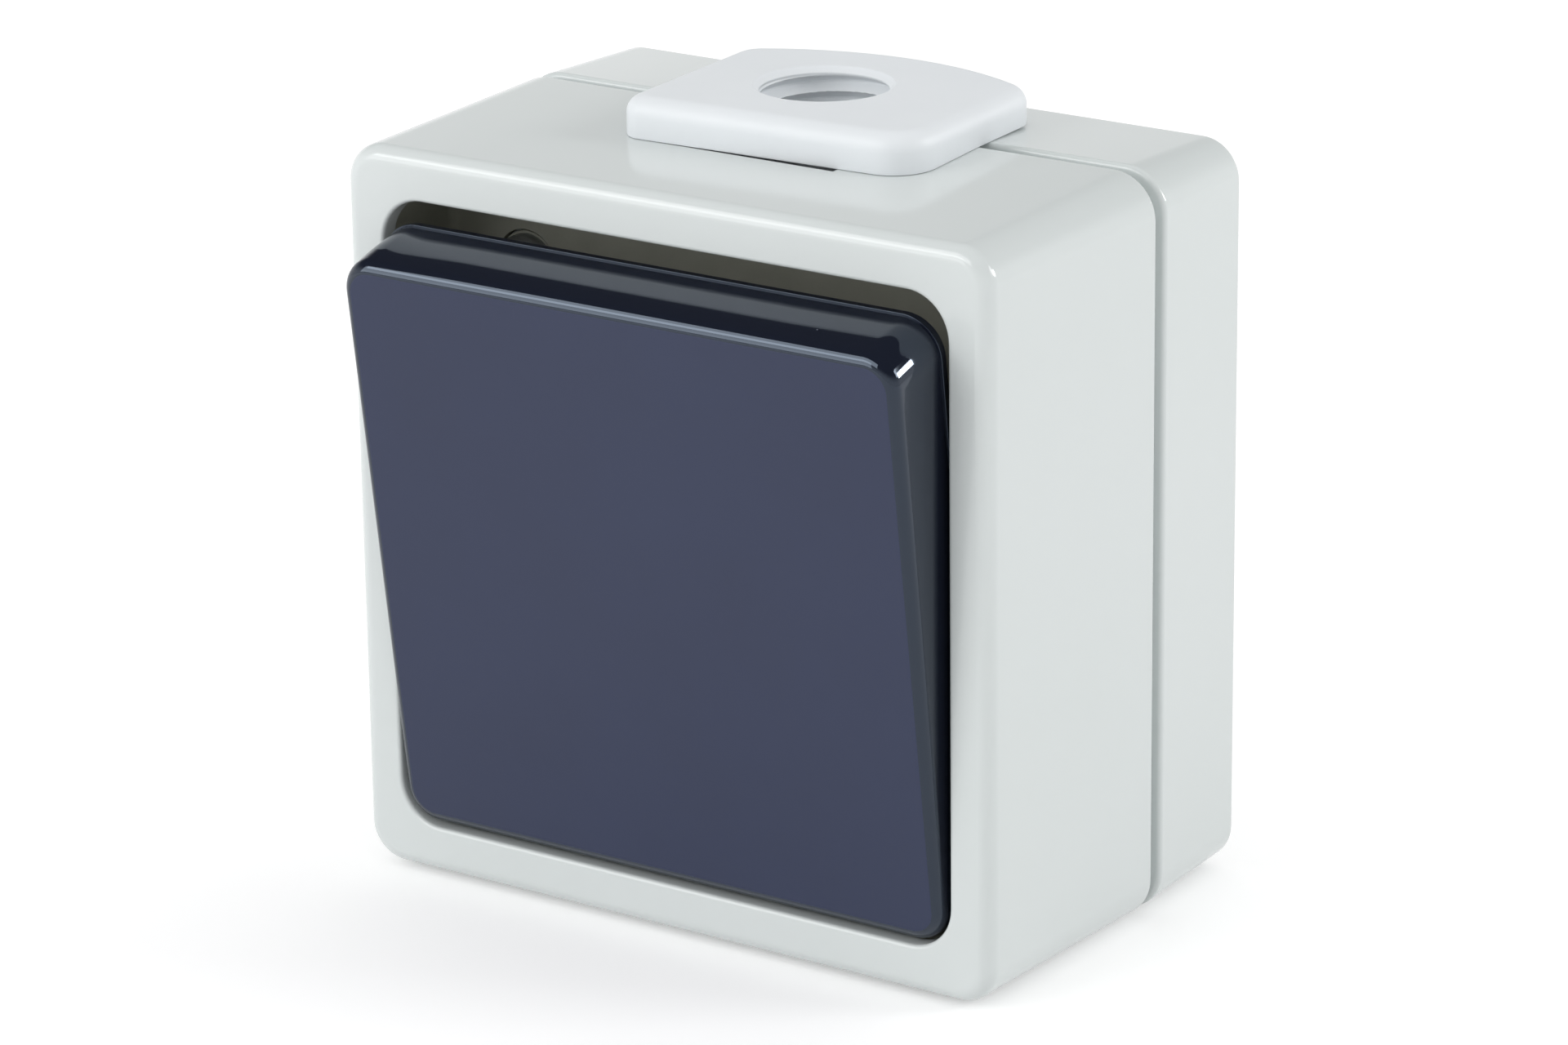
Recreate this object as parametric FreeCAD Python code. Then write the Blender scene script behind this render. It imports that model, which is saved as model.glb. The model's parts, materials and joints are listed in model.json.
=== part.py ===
import FreeCAD, Part
import math
import os

# Outdoor weatherproof rocker switch for surface mounting, all sizes in mm.
# X runs to the right seen from the front, Y runs towards the wall and Z runs up.
# The origin is the centre of the face that lies on the wall.

# Housing, outside
body_width = 66.0
body_height = 66.4
box_depth = 13.2
joint_gap = 1.5
cover_depth = 25.0
corner_radius = 4.0
cover_draft = 0.55
box_draft = 0.45
front_edge_radius = 1.4
back_edge_radius = 0.5

# Housing, walls and the lap joint between box and cover
back_wall = 2.0
box_wall = 2.6
cover_wall = 2.0
tongue_thickness = 1.2
tongue_length = 4.0
lap_clearance = 0.2
gasket_thickness = 0.8

# Opening for the rocker and the well behind it
opening_width = 57.0
opening_height = 56.8
opening_radius = 4.0
opening_edge_radius = 0.35
lip_depth = 1.8
well_depth = 10.3
well_floor = 1.6
seal_thickness = 1.0
seal_setback = 0.4
window_half_width = 13.0
window_half_height = 8.0
window_radius = 2.0
window_rim_width = 1.2
window_rim_height = 1.2

# Rocker cap, drawn level and then tilted to its rest position
rocker_width = 56.2
rocker_height = 55.2
rocker_corner_radius = 3.6
face_corner_radius = 3.0
face_inset_side = 0.1
face_inset_end = 1.0
rocker_edge_radius = 1.0
rocker_wall = 1.8
skirt_depth = 7.5
skirt_rim_height = 0.9
skirt_rim_step = 0.15
rocker_tilt = 7.6
pivot_depth = 8.9
face_to_pivot = 12.5

# Actuator that carries the cap, with its trunnions and plunger tube
trunnion_radius = 2.0
trunnion_overhang = 0.5
running_clearance = 0.05
hub_radius = 3.6
hub_side_gap = 0.3
hub_seat_depth = 1.0
tube_radius = 3.4
tube_reach = 9.0
neck_half_width = 6.0
neck_half_height = 3.0
platform_half_width = 11.0
platform_half_height = 9.0
platform_thickness = 2.0
clip_clearance = 0.1
clip_thickness = 1.6
clip_half_width = 5.0
clip_hook = 0.8

# Plunger and its spring
plunger_radius = 1.95
plunger_reach = 12.8
plunger_length = 8.3
plunger_stroke = 1.2
spring_wire = 0.6
spring_turns = 3.0
spring_side_gap = 0.25

# Bearing frame of bent sheet
frame_sheet = 1.5
ear_inner_x = 8.0
ear_half_height = 4.6
ear_tip_wall = 1.4
frame_half_width = 5.5
frame_window_half_width = 6.5
frame_window_half_height = 6.0

# Rocking contact lever
lever_gap = 0.1
lever_thickness = 0.8
lever_half_width = 2.6
lever_half_length = 12.0
lever_pad_half_height = 2.4
lever_ear_x = 3.0
lever_ear_thickness = 0.6
lever_ear_radius = 1.2
fulcrum_drop = 0.9
fulcrum_pin_radius = 0.6
lever_ratio = 0.6
contact_offset = 10.0
contact_radius = 1.4
lever_rivet_height = 0.7
fixed_rivet_height = 0.6
closed_gap = 0.1

# Switch base, straps and screw terminals
base_half_width = 16.5
base_half_height = 20.5
base_floor = 1.4
base_corner_radius = 1.5
chamber_half_width = 4.5
chamber_half_height = 13.5
strap_thickness = 0.8
strap_half_height = 2.0
strap_clearance = 0.1
clamp_x = 12.2
clamp_half = 3.2
clamp_wall = 0.9
clamp_top_wall = 1.2
clamp_recess = 1.3
clamp_clearance = 0.15
wire_hole_radius = 1.9

# Screws
screw_radius = 1.5
screw_clearance = 0.05
screw_head_radius = 2.7
screw_head_height = 1.5
screw_head_gap = 0.3
screw_slot = 0.8
screw_slot_depth = 0.8
screw_bite = 7.0
screw_head_chamfer = 0.4
boss_wall = 1.9
boss_rib_thickness = 1.2
mechanism_screw_z = 17.0
cover_screw_x = 21.0
cover_screw_z = 21.0
cover_hole_clearance = 0.3
washer_thickness = 0.8
washer_side = 0.2
terminal_screw_radius = 1.25
terminal_head_radius = 1.9
terminal_head_height = 1.5

# Fixing slots in the back wall
slot_spacing = 48.0
slot_length = 8.0
slot_radius = 2.1
slot_pad_width = 1.8
slot_pad_height = 1.0

# Cable entry plate on the joint line of the top face
entry_y = -14.6
entry_turn = 2.4
entry_side_shift = 1.3
entry_half_width = 14.5
entry_front_reach = 12.0
entry_back_reach = 8.0
entry_arc_rise = 4.2
entry_height = 3.35
entry_left_radius = 2.0
entry_right_radius = 3.8
entry_back_radius = 3.0
entry_edge_radius = 1.6
entry_bore_radius = 5.6
entry_bore_chamfer = 0.5
neck_half_x = 8.5
neck_half_y = 7.7
neck_corner = 1.5
neck_clearance = 0.5
entry_lip_width = 1.6
entry_lip_height = 1.3
entry_lip_gap = 0.2

# Earth terminal in the lower left corner of the box
earth_side_gap = 4.9
earth_floor_gap = 7.1
earth_half = 3.5
earth_height = 5.0
earth_pedestal_height = 4.0
earth_cheek = 1.2
earth_hole_radius = 1.4
earth_screw_relief = 0.3

# Drain knock-out in the underside of the box
drain_radius = 2.5
drain_depth = 0.6

# Planes along the depth, from the wall to the front
half_width = body_width / 2
half_height = body_height / 2
box_front = -box_depth
cover_rear = box_front - joint_gap
cover_front = cover_rear - cover_depth
tongue_end = box_front - tongue_length
rebate_end = tongue_end - gasket_thickness
seal_front = cover_front + well_depth
floor_front = seal_front + seal_thickness
floor_rear = floor_front + well_floor
frame_front = floor_rear + screw_head_height + screw_head_gap
base_front = frame_front + frame_sheet
pivot_y = cover_front + pivot_depth
lever_front = pivot_y + plunger_reach + lever_gap
lever_rear = lever_front + lever_thickness
fulcrum_y = lever_rear + fulcrum_drop
lever_tilt = rocker_tilt * lever_ratio
rivet_rear = lever_rear + lever_rivet_height
closed_y = (fulcrum_y + (rivet_rear - fulcrum_y) * math.cos(math.radians(lever_tilt))
            + (contact_offset + contact_radius) * math.sin(math.radians(lever_tilt)))
strap_front = closed_y + closed_gap + fixed_rivet_height
strap_rear = strap_front + strap_thickness
clamp_rear = strap_rear + clamp_wall
base_rear = clamp_rear + clamp_clearance + base_floor
clamp_front = base_front + clamp_recess

# Sizes across, shared by the pieces that fit each other
tongue_inset = box_wall - tongue_thickness
pocket_growth = seal_setback + seal_thickness
screw_hole_radius = screw_radius + screw_clearance
boss_radius = screw_hole_radius + boss_wall
entry_rear_y = entry_y + entry_back_reach
earth_x = -half_width + box_wall + earth_side_gap + earth_half
earth_z = -half_height + box_wall + earth_floor_gap + earth_half
neck_top = half_height
neck_bottom = half_height - box_wall - entry_lip_gap


def at(x, y, z):
    return FreeCAD.Vector(x, y, z)


ALONG_X = at(1, 0, 0)
ALONG_Y = at(0, 1, 0)
ALONG_Z = at(0, 0, 1)


def round_outline(half_x, half_z, radius, y, x=0.0, z=0.0):
    """A closed outline with four round corners in a plane of constant y."""
    edges = []
    ends = []
    for sign_x, sign_z, start in ((1, 1, 0), (-1, 1, 90), (-1, -1, 180), (1, -1, 270)):
        centre_x = x + sign_x * (half_x - radius)
        centre_z = z + sign_z * (half_z - radius)
        turn = [math.radians(start + step) for step in (0, 45, 90)]
        points = [at(centre_x + radius * math.cos(t), y, centre_z + radius * math.sin(t)) for t in turn]
        if ends:
            edges.append(Part.makeLine(ends[-1], points[0]))
        edges.append(Part.Arc(*points).toShape())
        ends.extend((points[0], points[-1]))
    edges.append(Part.makeLine(ends[-1], ends[0]))
    return Part.Wire(edges)


def slab(half_x, half_z, radius, front, rear, x=0.0, z=0.0):
    """A straight block with round corners between two planes of constant y."""
    face = Part.Face(round_outline(half_x, half_z, radius, front, x, z))
    return face.extrude(at(0, rear - front, 0))


def tapered(half_x, half_z, radius, front, rear, front_inset=0.0, rear_inset=0.0):
    """A block with round corners whose sides draw in towards one end."""
    outlines = []
    for y, inset in ((front, front_inset), (rear, rear_inset)):
        outlines.append(round_outline(half_x - inset, half_z - inset, radius - inset, y))
    return Part.makeLoft(outlines, True, True)


def brick(x0, x1, y0, y1, z0, z1):
    return Part.makeBox(x1 - x0, y1 - y0, z1 - z0, at(x0, y0, z0))


def rod(radius, start, end, x=0.0, z=0.0):
    """A round bar along Y."""
    return Part.makeCylinder(radius, end - start, at(x, start, z), ALONG_Y)


def cross_rod(radius, start, end, y, z=0.0):
    """A round bar along X."""
    return Part.makeCylinder(radius, end - start, at(start, y, z), ALONG_X)


def edges_on_y(shape, y, reach_x=None):
    """The edges that lie in the plane of this y, and within reach_x of the middle if it is given."""
    found = []
    for edge in shape.Edges:
        box = edge.BoundBox
        if abs(box.YMin - y) < 0.001 and abs(box.YMax - y) < 0.001:
            if reach_x is None or max(abs(box.XMin), abs(box.XMax)) < reach_x:
                found.append(edge)
    return found


def upright_edges(shape, y_low, y_high):
    """The edges that run along Z and lie between two values of y."""
    found = []
    for edge in shape.Edges:
        box = edge.BoundBox
        if box.XLength < 0.001 and box.YLength < 0.001 and y_low < box.YMin < y_high:
            found.append(edge)
    return found


def keep(node, *solids):
    """Writes one node, which is one solid or a group of like solids."""
    shape = solids[0] if len(solids) == 1 else Part.makeCompound(list(solids))
    shape.exportStep("parts/" + node + ".step")
    print(node, len(shape.Solids), round(shape.Volume, 1), shape.isValid())


def merged(first, *others):
    return first.fuse(list(others)).removeSplitter().Solids[0]


def tilted(shape, y, angle):
    """The shape turned about the X line through this y and z = 0."""
    copy = shape.copy()
    copy.rotate(at(0, y, 0), ALONG_X, angle)
    return copy


def slotted_screw(x, seat, z, head_radius, head_height, radius, end):
    """A screw that points at the wall, with a chamfered head and a straight slot across it."""
    top = seat - head_height
    head = rod(head_radius, top, seat, x, z)
    head = head.makeChamfer(screw_head_chamfer, edges_on_y(head, top))
    shank = rod(radius, seat, end, x, z)
    slot = brick(x - head_radius - 1, x + head_radius + 1, top - 1, top + screw_slot_depth,
                 z - screw_slot / 2, z + screw_slot / 2)
    return merged(head.cut(slot), shank)


# Places that several pieces share
cover_screw_places = ((-cover_screw_x, cover_screw_z), (cover_screw_x, -cover_screw_z))
mechanism_screw_places = ((0.0, mechanism_screw_z), (0.0, -mechanism_screw_z))
clamp_places = ((clamp_x, contact_offset), (-clamp_x, 0.0), (clamp_x, -contact_offset))


def entry_passage(clearance, front, rear):
    """The space that the neck of the cable entry plate takes in the top walls."""
    half_x = neck_half_x + clearance
    start = max(front, entry_y - neck_half_y - clearance)
    end = min(rear, entry_y + neck_half_y + clearance)
    return brick(-half_x, half_x, start, end, neck_bottom, half_height + 1)


def wall_slot(x, radius, front, rear):
    """A bar with two round ends along X, centred on x: the slot itself or the pad round it."""
    reach = slot_length / 2 - slot_radius
    middle = brick(x - reach, x + reach, front, rear, -radius, radius)
    return merged(middle, *[rod(radius, front, rear, x + side * reach) for side in (-1, 1)])


def make_rear_box():
    shell = tapered(half_width, half_height, corner_radius, box_front, 0.0, rear_inset=box_draft)
    shell = shell.makeFillet(back_edge_radius, edges_on_y(shell, 0.0))
    tongue = slab(half_width - tongue_inset, half_height - tongue_inset, corner_radius - tongue_inset,
                  tongue_end, box_front + back_wall)
    hollow = slab(half_width - box_wall, half_height - box_wall, corner_radius - tongue_inset,
                  tongue_end - 1, -back_wall)
    shell = shell.fuse(tongue).cut(hollow)
    solids = []
    holes = []
    for x, z in mechanism_screw_places:
        solids.append(rod(boss_radius, base_rear, -back_wall / 2, x, z))
        holes.append(rod(screw_hole_radius, base_rear - 1, base_rear + screw_bite + 1, x, z))
    for x, z in cover_screw_places:
        solids.append(rod(boss_radius, floor_rear, -back_wall / 2, x, z))
        holes.append(rod(screw_hole_radius, floor_rear - 1, floor_rear + screw_bite + 2, x, z))
        wall_x = math.copysign(half_width - box_wall / 2, x)
        wall_z = math.copysign(half_height - box_wall / 2, z)
        rib = boss_rib_thickness / 2
        solids.append(brick(min(x, wall_x), max(x, wall_x), box_front, -back_wall / 2, z - rib, z + rib))
        solids.append(brick(x - rib, x + rib, box_front, -back_wall / 2, min(z, wall_z), max(z, wall_z)))
    for side in (-1, 1):
        x = side * slot_spacing / 2
        solids.append(wall_slot(x, slot_radius + slot_pad_width, -back_wall - slot_pad_height,
                                -back_wall / 2))
        holes.append(wall_slot(x, slot_radius, -back_wall - slot_pad_height - 1, 1.0))
    pedestal_front = -back_wall - earth_pedestal_height
    outer = earth_half + earth_cheek
    solids.append(brick(earth_x - outer, earth_x + outer, pedestal_front, -back_wall / 2,
                        earth_z - earth_half, earth_z + earth_half))
    for side in (-1, 1):
        inner_x = earth_x + side * earth_half
        outer_x = earth_x + side * outer
        solids.append(brick(min(inner_x, outer_x), max(inner_x, outer_x), pedestal_front - earth_height / 2,
                            pedestal_front, earth_z - earth_half, earth_z + earth_half))
    drain = Part.makeCylinder(drain_radius, box_draft + drain_depth + 1,
                              at(0, box_front / 2, -half_height - 1), ALONG_Z)
    shell = shell.fuse(solids)
    shell = shell.cut(holes + [entry_passage(neck_clearance, tongue_end - 1, 0.0), drain])
    return shell.removeSplitter().Solids[0]


def make_front_cover():
    shell = tapered(half_width, half_height, corner_radius, cover_front, cover_rear, front_inset=cover_draft)
    shell = shell.makeFillet(front_edge_radius, edges_on_y(shell, cover_front))
    opening_x = opening_width / 2
    opening_z = opening_height / 2
    shell = shell.cut(slab(opening_x, opening_z, opening_radius, cover_front - 1, floor_front))
    shell = shell.makeFillet(opening_edge_radius, edges_on_y(shell, cover_front, opening_x + 0.01))
    cuts = [
        slab(opening_x + pocket_growth, opening_z + pocket_growth, opening_radius + pocket_growth,
             cover_front + lip_depth, floor_front),
        slab(half_width - cover_wall, half_height - cover_wall, corner_radius - tongue_inset,
             floor_rear, cover_rear + 1),
        slab(half_width - tongue_inset + lap_clearance, half_height - tongue_inset + lap_clearance,
             corner_radius - tongue_inset + lap_clearance, rebate_end, cover_rear + 1),
        slab(window_half_width, window_half_height, window_radius, floor_front - 1, floor_rear + 1),
        entry_passage(neck_clearance, floor_rear, cover_rear + 1),
    ]
    for x, z in cover_screw_places:
        cuts.append(rod(screw_radius + cover_hole_clearance, floor_front - 1, floor_rear + 1, x, z))
    return shell.cut(cuts).removeSplitter().Solids[0]


def make_well_seal():
    """A rubber tray that lines the well, with a raised rim round the window."""
    inner_x = opening_width / 2 + seal_setback
    inner_z = opening_height / 2 + seal_setback
    top = cover_front + lip_depth
    tray = slab(inner_x + seal_thickness, inner_z + seal_thickness,
                opening_radius + pocket_growth, top, floor_front)
    tray = tray.cut(slab(inner_x, inner_z, opening_radius + seal_setback, top - 1, seal_front))
    rim = slab(window_half_width + window_rim_width, window_half_height + window_rim_width,
               window_radius + window_rim_width, seal_front - window_rim_height, floor_front)
    tray = tray.fuse(rim)
    cuts = [slab(window_half_width, window_half_height, window_radius,
                 seal_front - window_rim_height - 1, floor_front + 1)]
    for x, z in cover_screw_places:
        cuts.append(rod(screw_head_radius + 2 * washer_side, seal_front - 1, floor_front + 1, x, z))
    return tray.cut(cuts).removeSplitter().Solids[0]


def make_box_gasket():
    """A flat rubber ring between the tongue of the box and the step in the cover."""
    outer = slab(half_width - tongue_inset, half_height - tongue_inset, corner_radius - tongue_inset,
                 rebate_end, tongue_end)
    inner = slab(half_width - box_wall, half_height - box_wall, corner_radius - tongue_inset,
                 rebate_end - 1, tongue_end + 1)
    ring = outer.cut([inner, entry_passage(neck_clearance, rebate_end - 1, tongue_end + 1)])
    return ring.Solids[0]


def make_rocker_cap():
    """The face plate with its flared skirt, hollow behind, with the clips that hold the actuator."""
    rear_x = rocker_width / 2 - skirt_rim_step
    rear_z = rocker_height / 2 - skirt_rim_step
    face_x = rear_x - face_inset_side
    face_z = rear_z - face_inset_end
    face = pivot_y - face_to_pivot
    rear = face + skirt_depth
    under = face + rocker_wall
    cap = Part.makeLoft([
        round_outline(face_x, face_z, face_corner_radius, face),
        round_outline(rear_x, rear_z, rocker_corner_radius - skirt_rim_step, rear),
    ], True, True)
    cap = cap.makeFillet(rocker_edge_radius, edges_on_y(cap, face))
    rim = slab(rocker_width / 2, rocker_height / 2, rocker_corner_radius, rear - skirt_rim_height, rear)
    hollow = Part.makeLoft([
        round_outline(face_x - rocker_wall, face_z - rocker_wall, face_corner_radius - rocker_wall, under),
        round_outline(rear_x - rocker_wall, rear_z - rocker_wall, rocker_corner_radius - rocker_wall,
                      rear + 1),
    ], True, True)
    cap = cap.fuse(rim).cut(hollow)
    clips = []
    leg_inner = platform_half_height + clip_clearance
    leg_outer = leg_inner + clip_thickness
    hook_front = under + platform_thickness + clip_clearance
    hook_rear = hook_front + clip_hook
    for side in (-1, 1):
        low = min(side * leg_inner, side * leg_outer)
        clips.append(brick(-clip_half_width, clip_half_width, under - rocker_wall / 2, hook_rear,
                           low, low + clip_thickness))
        tip = side * (leg_inner - clip_hook)
        clips.append(brick(-clip_half_width, clip_half_width, hook_front, hook_rear,
                           min(tip, side * leg_outer), max(tip, side * leg_outer)))
        fence = side * (platform_half_width + clip_clearance)
        fence_end = side * (platform_half_width + clip_clearance + clip_thickness)
        clips.append(brick(min(fence, fence_end), max(fence, fence_end), under - rocker_wall / 2,
                           under + platform_thickness, -clip_half_width, clip_half_width))
    return merged(cap, *clips)


def make_actuator():
    """The rocking cradle: a platform for the cap, a hub with trunnions and a tube for the plunger."""
    platform_front = pivot_y - face_to_pivot + rocker_wall
    hub_half = ear_inner_x - hub_side_gap
    trunnion_half = ear_inner_x + frame_sheet + trunnion_overhang
    bore_radius = plunger_radius + running_clearance
    tube_end = pivot_y + tube_reach
    platform = brick(-platform_half_width, platform_half_width, platform_front,
                     platform_front + platform_thickness, -platform_half_height, platform_half_height)
    neck = brick(-neck_half_width, neck_half_width, platform_front, pivot_y,
                 -neck_half_height, neck_half_height)
    hub = cross_rod(hub_radius, -hub_half, hub_half, pivot_y)
    trunnions = cross_rod(trunnion_radius, -trunnion_half, trunnion_half, pivot_y)
    tube = rod(tube_radius, pivot_y, tube_end)
    bore = rod(bore_radius, pivot_y - hub_seat_depth, tube_end + 1)
    return merged(platform, neck, hub, trunnions, tube).cut(bore).Solids[0]


def make_plunger():
    tip = pivot_y + plunger_reach
    centre = tip - plunger_radius
    stem = rod(plunger_radius, tip - plunger_length, centre)
    ball = Part.makeSphere(plunger_radius, at(0, centre, 0))
    return merged(stem, ball)


def make_plunger_spring():
    """Open coils between the seat in the hub and the back of the plunger."""
    start = pivot_y - hub_seat_depth
    end = pivot_y + plunger_reach - plunger_length
    coil_radius = plunger_radius - spring_side_gap - spring_wire / 2
    rise = end - start - spring_wire
    helix = Part.makeHelix(rise / spring_turns, rise, coil_radius)
    section = Part.Wire(Part.makeCircle(spring_wire / 2, at(coil_radius, 0, 0), ALONG_Y))
    coil = Part.Wire(helix).makePipeShell([section], True, True)
    coil.rotate(at(0, 0, 0), ALONG_X, -90)
    coil.translate(at(0, start + spring_wire / 2, 0))
    return coil


def make_bearing_frame():
    """A strap of sheet across the base with two ears bent forward for the trunnions."""
    ear_outer_x = ear_inner_x + frame_sheet
    tip_radius = trunnion_radius + running_clearance + ear_tip_wall
    sheet = brick(-frame_half_width, frame_half_width, frame_front, base_front,
                  -base_half_height, base_half_height)
    middle = brick(-ear_outer_x, ear_outer_x, frame_front, base_front,
                   -window_half_height, window_half_height)
    solids = [middle]
    holes = [brick(-frame_window_half_width, frame_window_half_width, frame_front - 1, base_front + 1,
                   -frame_window_half_height, frame_window_half_height)]
    for low in (-ear_outer_x, ear_inner_x):
        high = low + frame_sheet
        profile = Part.makePolygon([
            at(low, base_front, -ear_half_height),
            at(low, base_front, ear_half_height),
            at(low, pivot_y, tip_radius),
            at(low, pivot_y, -tip_radius),
            at(low, base_front, -ear_half_height),
        ])
        solids.append(Part.Face(profile).extrude(at(frame_sheet, 0, 0)))
        solids.append(cross_rod(tip_radius, low, high, pivot_y))
        holes.append(cross_rod(trunnion_radius + running_clearance, low - 1, high + 1, pivot_y))
    for x, z in mechanism_screw_places:
        holes.append(rod(screw_radius + screw_clearance, frame_front - 1, base_front + 1, x, z))
    return merged(sheet, *solids).cut(holes).Solids[0]


def make_switch_base():
    """The moulded base with the contact chamber in its middle and a pocket for each terminal."""
    block = slab(base_half_width, base_half_height, base_corner_radius, base_front, base_rear)
    cuts = [brick(-chamber_half_width, chamber_half_width, base_front - 1, strap_rear,
                  -chamber_half_height, chamber_half_height)]
    half = clamp_half + clamp_clearance
    slot_half = strap_half_height + strap_clearance
    wire_y = (clamp_front + clamp_top_wall + strap_front) / 2
    for x, z in clamp_places:
        cuts.append(brick(x - half, x + half, base_front - 1, clamp_rear + clamp_clearance,
                          z - half, z + half))
        inner = min(0.0, x)
        outer = max(0.0, x)
        cuts.append(brick(inner, outer, strap_front - strap_clearance, strap_rear,
                          z - slot_half, z + slot_half))
        reach = math.copysign(base_half_width + 1, x)
        cuts.append(cross_rod(wire_hole_radius, min(x, reach), max(x, reach), wire_y, z))
    for x, z in mechanism_screw_places:
        cuts.append(rod(screw_radius + screw_clearance, base_front - 1, base_rear + 1, x, z))
    for z in (contact_offset, -contact_offset):
        cuts.append(brick(-clamp_x - half, -clamp_x + half, base_front - 1, strap_rear, z - half, z + half))
    # The way of the screwdriver to the earth screw, which reaches the base only in a narrow housing
    cuts.append(rod(terminal_head_radius + earth_screw_relief, base_front - 1, base_rear + 1,
                    earth_x, earth_z))
    return block.cut(cuts).removeSplitter().Solids[0]


def make_strap(x, z):
    """A brass strap on the chamber floor from the middle of the chamber into its clamp."""
    far = x + math.copysign(clamp_half, x)
    near = -math.copysign(strap_half_height, x)
    return brick(min(near, far), max(near, far), strap_front, strap_rear,
                 z - strap_half_height, z + strap_half_height)


def make_common_terminal():
    """The middle strap with the post and cross pin on which the lever rocks."""
    post_half_width = lever_ear_x - lever_ear_thickness
    pin_half = lever_ear_x + lever_ear_thickness + lever_ear_thickness / 2
    post = brick(-post_half_width, post_half_width, fulcrum_y, strap_rear, -fulcrum_drop, fulcrum_drop)
    head = cross_rod(fulcrum_drop - closed_gap, -post_half_width, post_half_width, fulcrum_y)
    pin = cross_rod(fulcrum_pin_radius, -pin_half, pin_half, fulcrum_y)
    return merged(make_strap(-clamp_x, 0.0), post, head, pin)


def make_contact_lever():
    """A blade with two bent ears, each with a hole for the cross pin."""
    blade = brick(-lever_half_width, lever_half_width, lever_front, lever_rear,
                  -lever_half_length, lever_half_length)
    ear_outer = lever_ear_x + lever_ear_thickness
    pad = brick(-ear_outer, ear_outer, lever_front, lever_rear,
                -lever_pad_half_height, lever_pad_half_height)
    solids = [pad]
    for low in (-ear_outer, lever_ear_x):
        high = low + lever_ear_thickness
        solids.append(brick(low, high, lever_front, fulcrum_y, -lever_ear_radius, lever_ear_radius))
        solids.append(cross_rod(lever_ear_radius, low, high, fulcrum_y))
    hole = cross_rod(fulcrum_pin_radius + running_clearance, -ear_outer - 1, ear_outer + 1, fulcrum_y)
    return merged(blade, *solids).cut(hole).Solids[0]


def make_clamp(x, z):
    """A cage with an open way along X for the wire and the strap, and a screw hole at the front."""
    cage = brick(x - clamp_half, x + clamp_half, clamp_front, clamp_rear, z - clamp_half, z + clamp_half)
    way = clamp_half - clamp_wall
    cuts = [
        brick(x - clamp_half - 1, x + clamp_half + 1, clamp_front + clamp_top_wall, strap_rear,
              z - way, z + way),
        rod(terminal_screw_radius + screw_clearance, clamp_front - 1, clamp_front + clamp_top_wall + 1,
            x, z),
    ]
    return cage.cut(cuts).Solids[0]


def make_terminal_screw(x, z):
    seat = clamp_front - terminal_head_height / 2
    end = clamp_front + clamp_top_wall + (strap_front - clamp_front) / 4
    return slotted_screw(x, seat, z, terminal_head_radius, terminal_head_height, terminal_screw_radius, end)


def make_washer(x, z):
    ring = rod(screw_head_radius + washer_side, floor_front - washer_thickness, floor_front, x, z)
    hole = rod(screw_hole_radius, floor_front - washer_thickness - 1, floor_front + 1, x, z)
    return ring.cut(hole).Solids[0]


def make_cable_entry_plate():
    """A flange on the top face with a neck in the wall slot, a lip inside and a bore for the gland.

    The flange reaches further to the right of the bore, and the plate sits a little askew in its slot.
    """
    front = entry_y - entry_front_reach
    top = half_height + entry_height
    left = entry_side_shift - entry_half_width
    right = entry_side_shift + entry_half_width
    left_front = at(left, front, half_height)
    right_front = at(right, front, half_height)
    right_back = at(right, entry_rear_y, half_height)
    left_back = at(left, entry_rear_y, half_height)
    apex = at(entry_side_shift, entry_rear_y + entry_arc_rise, half_height)
    outline = Part.Wire([
        Part.makeLine(left_front, right_front),
        Part.makeLine(right_front, right_back),
        Part.Arc(right_back, apex, left_back).toShape(),
        Part.makeLine(left_back, left_front),
    ])
    flange = Part.Face(outline).extrude(at(0, 0, entry_height))
    for edge_x, radius in ((left, entry_left_radius), (right, entry_right_radius)):
        corner = [edge for edge in upright_edges(flange, front - 1, front + 1)
                  if abs(edge.BoundBox.XMin - edge_x) < 0.001]
        flange = flange.makeFillet(radius, corner)
    flange = flange.makeFillet(entry_back_radius, upright_edges(flange, entry_rear_y - 1, entry_rear_y + 1))
    rim = [edge for edge in flange.Edges if edge.BoundBox.ZMin > top - 0.001]
    flange = flange.makeFillet(entry_edge_radius, rim)
    neck = brick(-neck_half_x, neck_half_x, entry_y - neck_half_y, entry_y + neck_half_y,
                 neck_bottom, neck_top)
    neck = neck.makeFillet(neck_corner, upright_edges(neck, front, 0.0))
    reach_x = neck_half_x + entry_lip_width
    reach_y = neck_half_y + entry_lip_width
    lip = brick(-reach_x, reach_x, entry_y - reach_y, entry_y + reach_y,
                neck_bottom - entry_lip_height, neck_bottom)
    lip = lip.makeFillet(neck_corner, upright_edges(lip, front, 0.0))
    plate = merged(flange, neck, lip)
    plate.rotate(at(0, entry_y, 0), ALONG_Z, entry_turn)
    bottom = neck_bottom - entry_lip_height
    bore = Part.makeCylinder(entry_bore_radius, top - bottom + 2, at(0, entry_y, bottom - 1), ALONG_Z)
    mouth = Part.makeCone(entry_bore_radius, entry_bore_radius + 2 * entry_bore_chamfer,
                          2 * entry_bore_chamfer, at(0, entry_y, top - entry_bore_chamfer), ALONG_Z)
    return plate.cut([bore, mouth]).Solids[0]


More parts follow.
